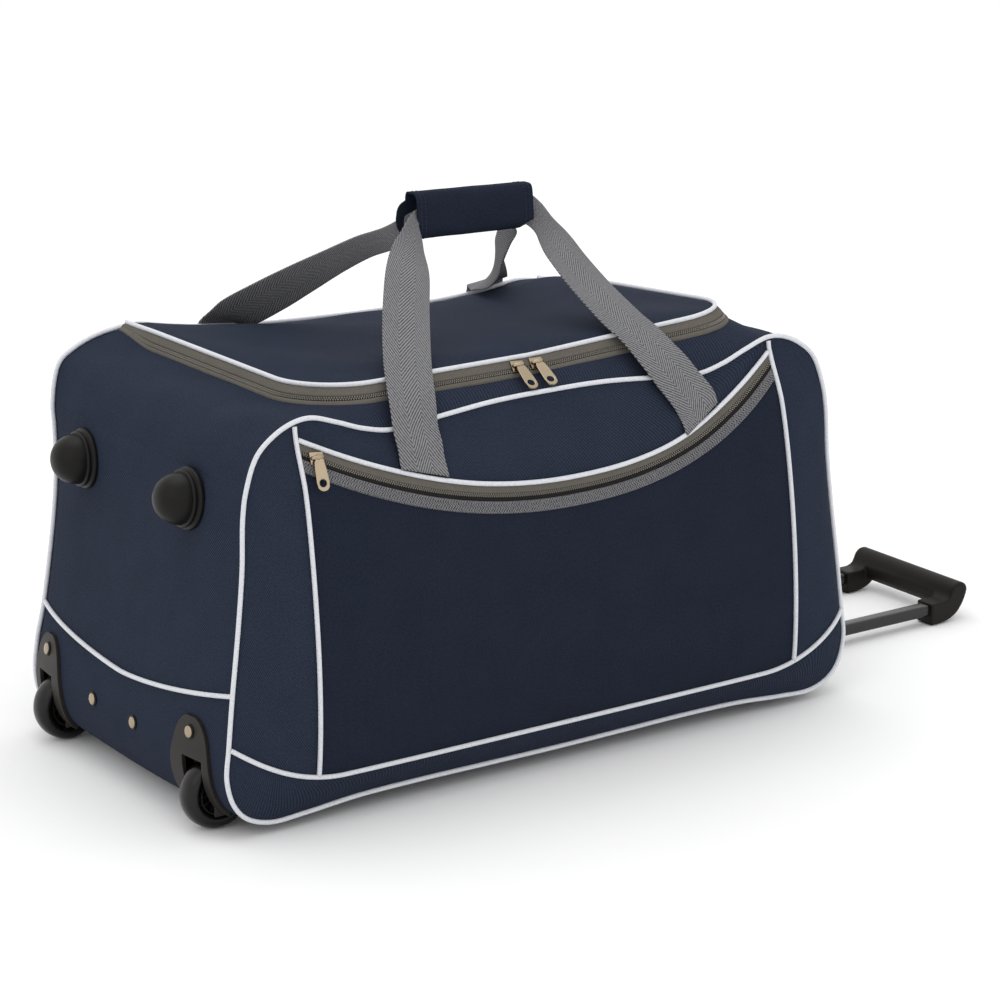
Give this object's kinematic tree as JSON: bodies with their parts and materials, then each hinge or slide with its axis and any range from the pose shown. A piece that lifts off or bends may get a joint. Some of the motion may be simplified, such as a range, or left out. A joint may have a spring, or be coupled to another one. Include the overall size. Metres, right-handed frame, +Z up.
{
  "type": "wheeled sports bag",
  "caption": "Soft sports holdall on wheels: piped cloth panels, a zipped lid and front pocket, carry straps joined by a wrap, and a telescopic trolley handle for pulling it along.",
  "frame": {"origin": "on the floor under the middle of the whole object, with the trolley handle as far out as shown", "axes": "+X along the bag towards the trolley handle, +Y from the pocket side to the plain back, +Z up"},
  "size_m": [0.9664, 0.4335, 0.5186],
  "materials": {
    "navy_cloth": "woven polyester, matt",
    "white_piping": "smooth, satin",
    "zip_tape": "woven, matt",
    "webbing": "herringbone weave, matt",
    "black_plastic": "moulded, satin",
    "shield_plastic": "moulded, satin",
    "tyre": "matt",
    "tube_metal": "satin dark grey",
    "nickel": "bright plated"
  },
  "bodies": {
    "bag": {"front_panel_left": "navy_cloth", "front_panel_right": "navy_cloth", "front_yoke": "navy_cloth", "front_pocket": "navy_cloth", "front_lower_band": "navy_cloth", "back_panel": "navy_cloth", "wheel_end_panel": "navy_cloth", "handle_end_panel": "navy_cloth", "wheel_end_shoulder": "navy_cloth", "handle_end_shoulder": "navy_cloth", "front_top_strip": "navy_cloth", "wheel_end_lower": "navy_cloth", "handle_end_lower": "navy_cloth", "base_panel": "navy_cloth", "lid": "navy_cloth", "grip_wrap": "navy_cloth", "front_outline_piping": "white_piping", "back_outline_piping": "white_piping", "front_left_piping": "white_piping", "front_right_piping": "white_piping", "front_band_piping": "white_piping", "pocket_piping": "white_piping", "wheel_end_piping": "white_piping", "handle_end_piping": "white_piping", "lid_piping": "white_piping", "pocket_zip": "zip_tape", "main_zip": "zip_tape", "pocket_binding": "webbing", "front_strap": "webbing", "back_strap": "webbing", "bumper_front": "black_plastic", "bumper_back": "black_plastic", "foot_front": "black_plastic", "foot_back": "black_plastic", "wheel_housing_front": "shield_plastic", "wheel_housing_back": "shield_plastic", "trolley_guide_front": "tube_metal", "trolley_guide_back": "tube_metal", "wheel_axle_front": "nickel", "wheel_axle_back": "nickel", "housing_rivet_front": "nickel", "housing_rivet_back": "nickel", "end_rivet_front": "nickel", "end_rivet_back": "nickel", "main_left_slider": "nickel", "main_right_slider": "nickel", "pocket_slider": "nickel"},
    "wheel_front": {"wheel_tyre_front": "tyre", "wheel_hub_front": "black_plastic"},
    "wheel_back": {"wheel_tyre_back": "tyre", "wheel_hub_back": "black_plastic"},
    "trolley": {"trolley_tube_front": "tube_metal", "trolley_tube_back": "tube_metal", "trolley_grip": "black_plastic"},
    "main_left_tab": {"main_left_pull": "nickel"},
    "main_right_tab": {"main_right_pull": "nickel"},
    "pocket_tab": {"pocket_pull": "nickel"}
  },
  "joints": [
    {"name": "wheel_front_spin", "type": "hinge", "parent": "bag", "child": "wheel_front", "pos_m": [-0.45025, -0.1378, 0.033], "axis": [0, 1, 0], "continuous": true},
    {"name": "wheel_back_spin", "type": "hinge", "parent": "bag", "child": "wheel_back", "pos_m": [-0.45025, 0.1522, 0.033], "axis": [0, 1, 0], "continuous": true},
    {"name": "trolley_slide", "type": "slide", "parent": "bag", "child": "trolley", "axis": [1, 0, 0], "range_m": [-0.19, 0.25]},
    {"name": "main_left_tab_swing", "type": "hinge", "parent": "bag", "child": "main_left_tab", "pos_m": [-0.13401, -0.16284, 0.3826], "axis": [-1, 0, 0], "range_deg": [0, 100]},
    {"name": "main_right_tab_swing", "type": "hinge", "parent": "bag", "child": "main_right_tab", "pos_m": [-0.11349, -0.16284, 0.3828], "axis": [-0.9987, 0, -0.0518], "range_deg": [0, 100]},
    {"name": "pocket_tab_swing", "type": "hinge", "parent": "bag", "child": "pocket_tab", "pos_m": [-0.36855, -0.19851, 0.34182], "axis": [-0.9985, 0.054, 0], "range_deg": [0, 100]}
  ]
}
